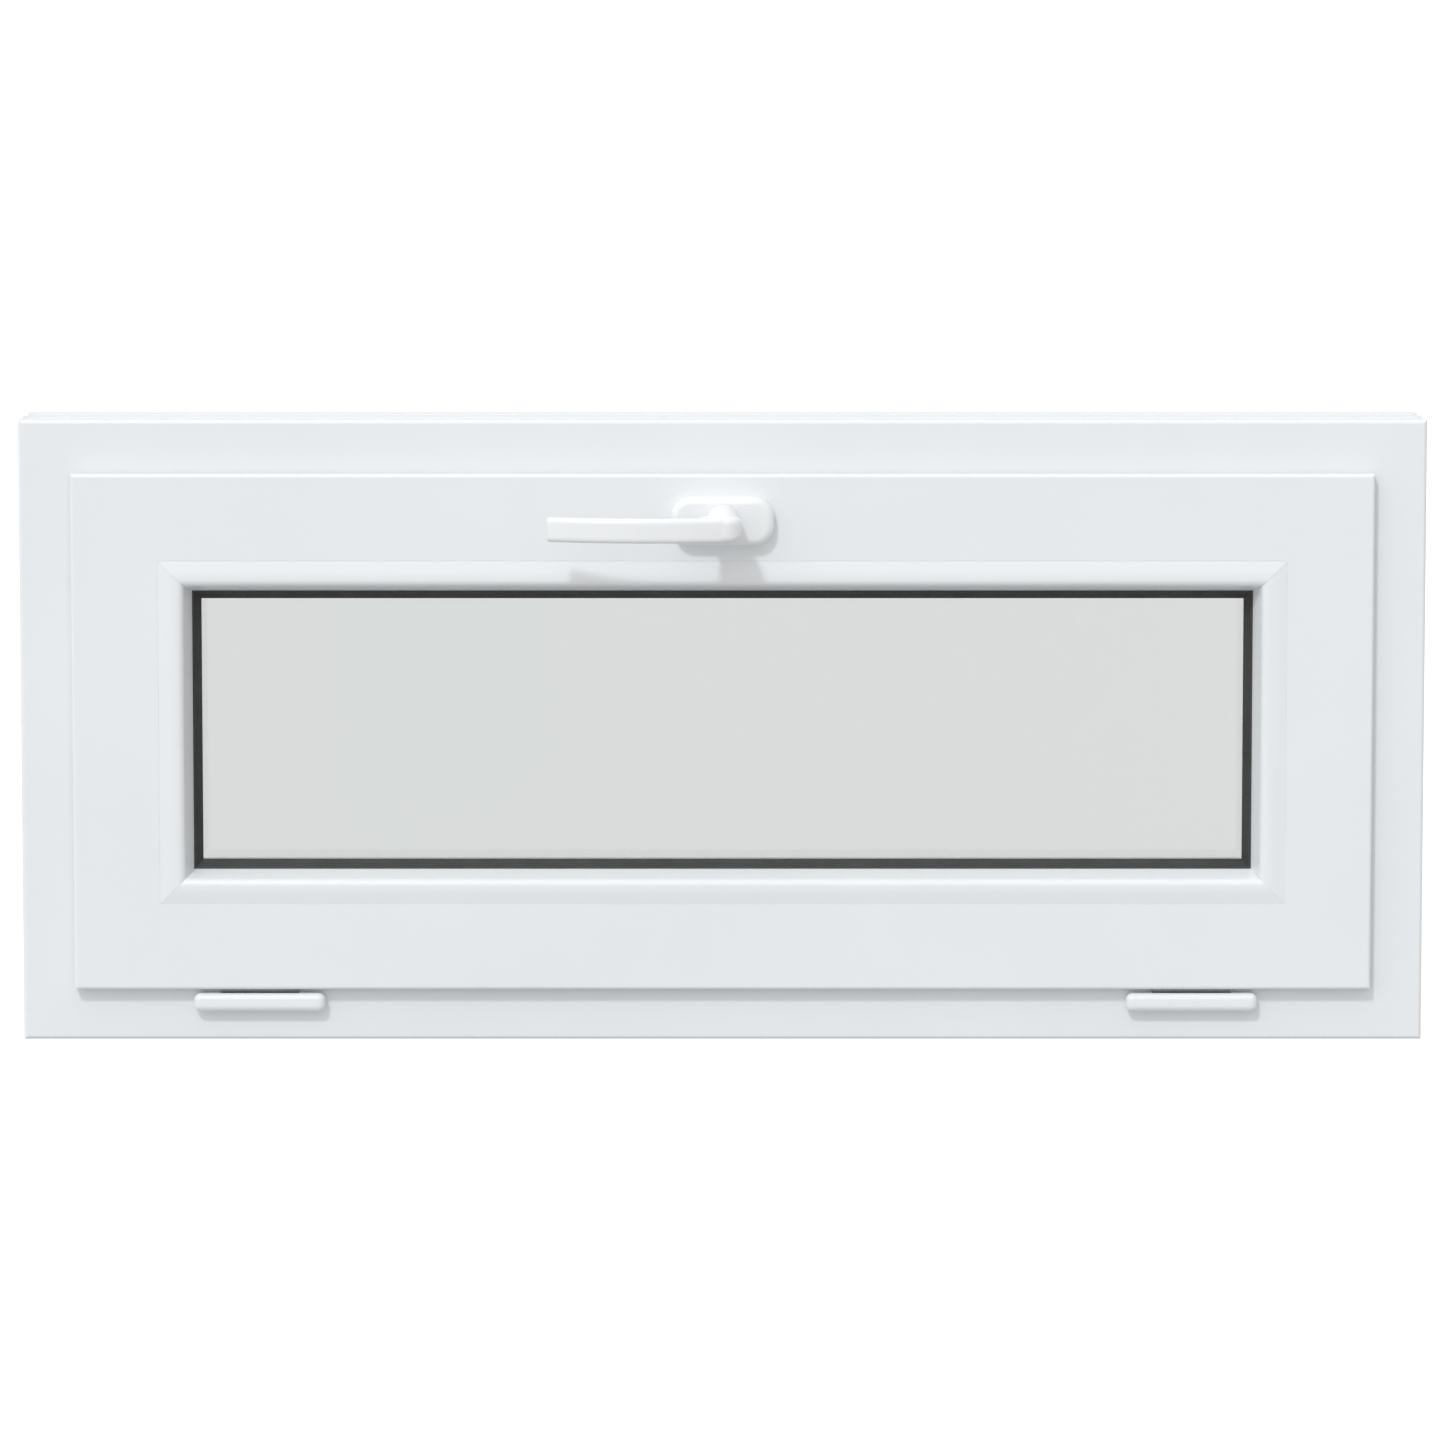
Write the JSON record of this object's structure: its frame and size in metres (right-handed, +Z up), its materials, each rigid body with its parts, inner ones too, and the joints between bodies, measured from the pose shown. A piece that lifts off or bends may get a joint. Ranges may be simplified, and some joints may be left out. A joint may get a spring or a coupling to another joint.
{
  "type": "tilt window",
  "caption": "Bottom-hung white PVC window that tilts into the room, with double glazing, beads, a top handle driving locking cams, hinges and stay arms.",
  "frame": {"origin": "centre of the frame's bottom face, halfway through its depth", "axes": "+X along the width, to the right seen from the room; +Y from the room to the outside; +Z up"},
  "size_m": [0.9, 0.1387, 0.4],
  "materials": {
    "pvc": "smooth satin white",
    "handle_white": "white powder coat",
    "seal": "matte black rubber",
    "seal_grey": "matte dark grey rubber",
    "glass": "clear float glass",
    "spacer": "mill finish",
    "steel": "zinc plated",
    "blocks": "moulded plastic",
    "seal_pale": "matte light grey rubber"
  },
  "bodies": {
    "frame": {"frame_head": "pvc", "frame_bottom_rail": "pvc", "frame_jamb_left": "pvc", "frame_jamb_right": "pvc", "drainage_caps": "pvc", "hinge_cap_left": "pvc", "hinge_cap_right": "pvc", "frame_steel_head": "steel", "frame_steel_bottom": "steel", "frame_steel_left": "steel", "frame_steel_right": "steel", "striker_left": "steel", "striker_right": "steel", "striker_screws": "steel", "hinge_bracket_left": "steel", "hinge_bracket_right": "steel", "hinge_pin_left": "steel", "hinge_pin_right": "steel", "hinge_bracket_screws": "steel", "stay_bracket_left": "steel", "stay_bracket_right": "steel", "frame_weather_seal": "seal"},
    "sash": {"sash_top_rail": "pvc", "sash_bottom_rail": "pvc", "sash_stile_left": "pvc", "sash_stile_right": "pvc", "bead_top": "pvc", "bead_bottom": "pvc", "bead_left": "pvc", "bead_right": "pvc", "sash_steel_top": "steel", "sash_steel_bottom": "steel", "sash_steel_left": "steel", "sash_steel_right": "steel", "hinge_leaf_left": "steel", "hinge_leaf_right": "steel", "hinge_leaf_screws": "steel", "gear_faceplate": "steel", "gearbox_case": "steel", "rosette_base": "steel", "handle_screws": "steel", "stay_rail_left": "steel", "stay_rail_right": "steel", "glazing_seal_inner": "seal_grey", "glazing_seal_outer": "seal", "glass_edge_seal": "seal", "sash_overlap_seal": "seal_pale", "glass_pane_inner": "glass", "glass_pane_outer": "glass", "glass_spacer": "spacer", "glazing_blocks": "blocks", "rosette_cover": "handle_white"},
    "handle": {"handle_spindle": "steel", "gear_pinion": "steel", "handle_lever": "handle_white"},
    "drive": {"drive_rail": "steel", "locking_cams": "steel"},
    "stay_left": {"stay_arm_left": "steel"},
    "stay_right": {"stay_arm_right": "steel"}
  },
  "joints": [
    {"name": "sash_tilt", "type": "hinge", "parent": "frame", "child": "sash", "pos_m": [0, -0.0398, 0.02515], "axis": [1, 0, 0], "range_deg": [0, 20]},
    {"name": "handle_turn", "type": "hinge", "parent": "sash", "child": "handle", "pos_m": [0, -0.045, 0.3365], "axis": [0, -1, 0], "range_deg": [0, 90]},
    {"name": "rail_slide", "type": "slide", "parent": "sash", "child": "drive", "axis": [-1, 0, 0], "range_m": [0, 0.0095]},
    {"name": "stay_turn_left", "type": "hinge", "parent": "frame", "child": "stay_left", "pos_m": [-0.404, -0.015, 0.12515], "axis": [1, 0, 0], "range_deg": [0, 31]},
    {"name": "stay_turn_right", "type": "hinge", "parent": "frame", "child": "stay_right", "pos_m": [0.404, -0.015, 0.12515], "axis": [1, 0, 0], "range_deg": [0, 31]}
  ],
  "couplings": [
    {"joint": "rail_slide", "follows": "handle_turn", "m_per_rad": 0.006},
    {"joint": "stay_turn_left", "follows": "sash_tilt", "ratio": 1.53},
    {"joint": "stay_turn_right", "follows": "sash_tilt", "ratio": 1.53}
  ]
}
